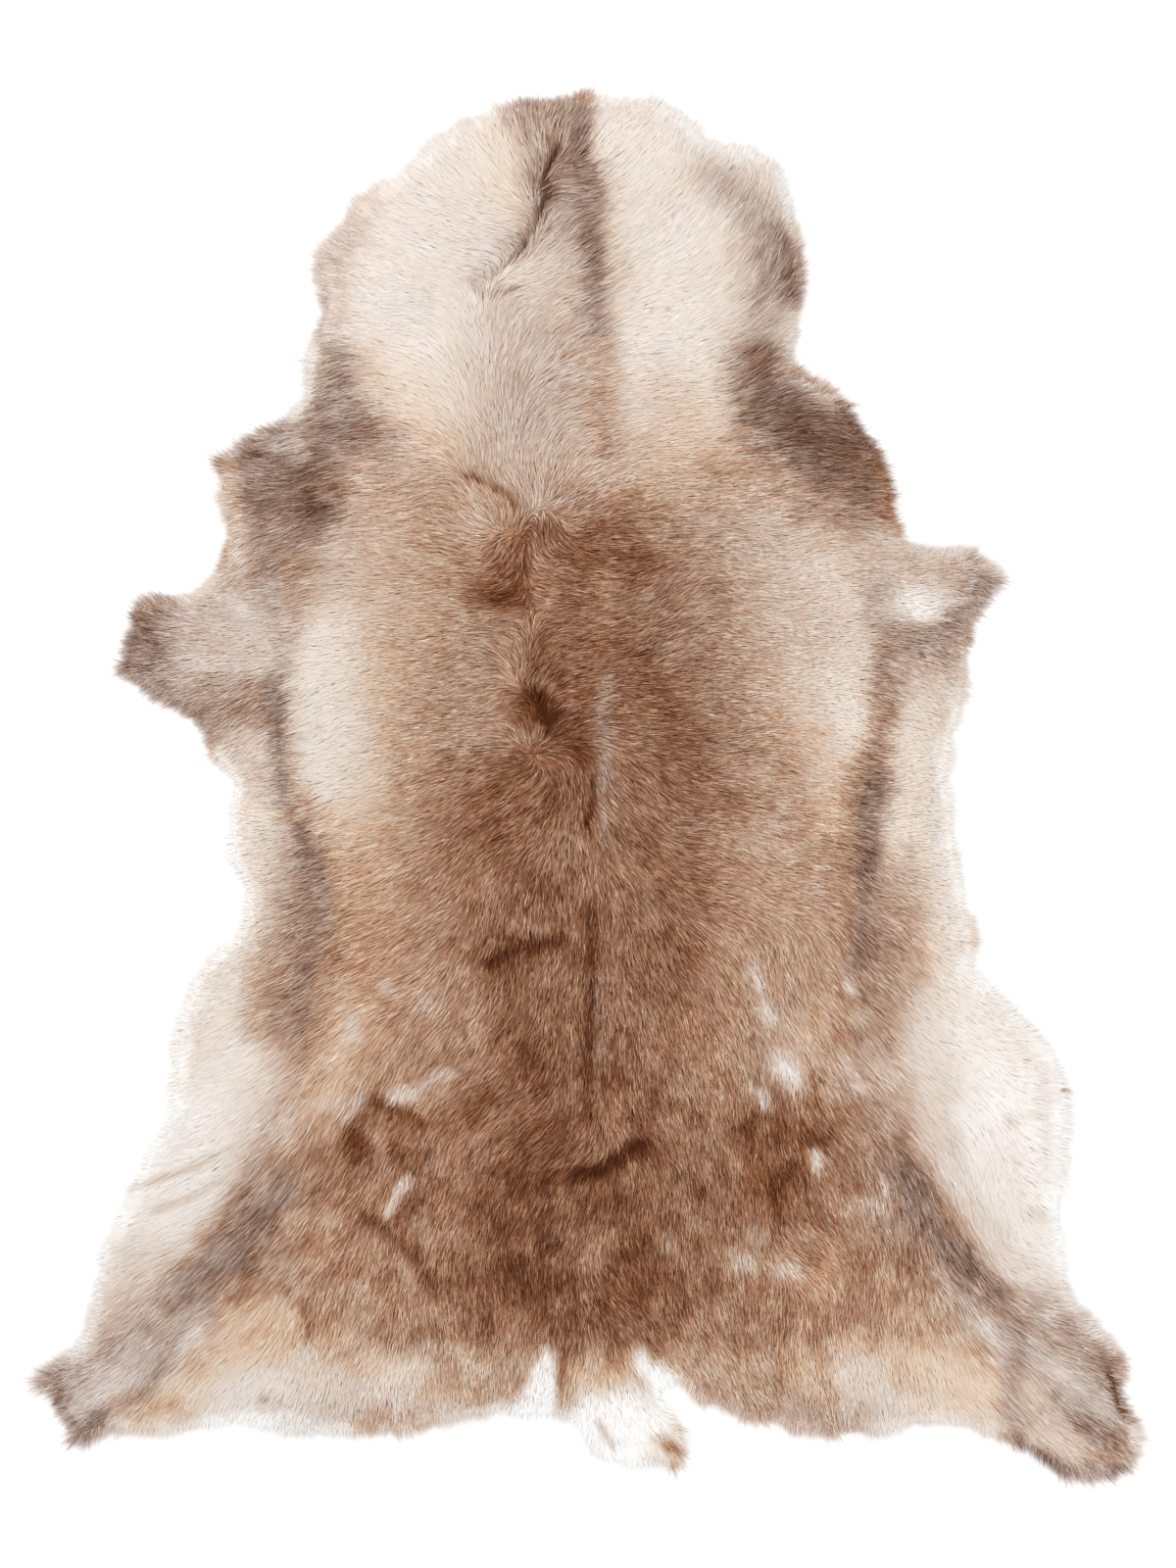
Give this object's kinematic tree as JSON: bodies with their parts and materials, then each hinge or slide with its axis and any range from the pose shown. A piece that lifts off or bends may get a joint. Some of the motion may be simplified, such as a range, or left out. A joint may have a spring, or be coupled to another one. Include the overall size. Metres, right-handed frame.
{
  "type": "reindeer hide",
  "caption": "Tanned reindeer hide with the hair on, laid flat with the hair side up, neck at the top and the hind legs and tail at the bottom.",
  "frame": {"origin": "centre of the hide's outline box, on the flat flesh side that rests on the surface", "axes": "+Z out of the hair, +Y from the tail to the neck along the spine, +X to the right seen from above"},
  "size_m": [1.015, 1.275, 0.0268],
  "materials": {
    "fur": "soft dense reindeer hair, brown back fading to cream flanks and a white tail",
    "skin": "tanned suede flesh side"
  },
  "bodies": {
    "root": {"hide": "fur"}
  },
  "joints": []
}
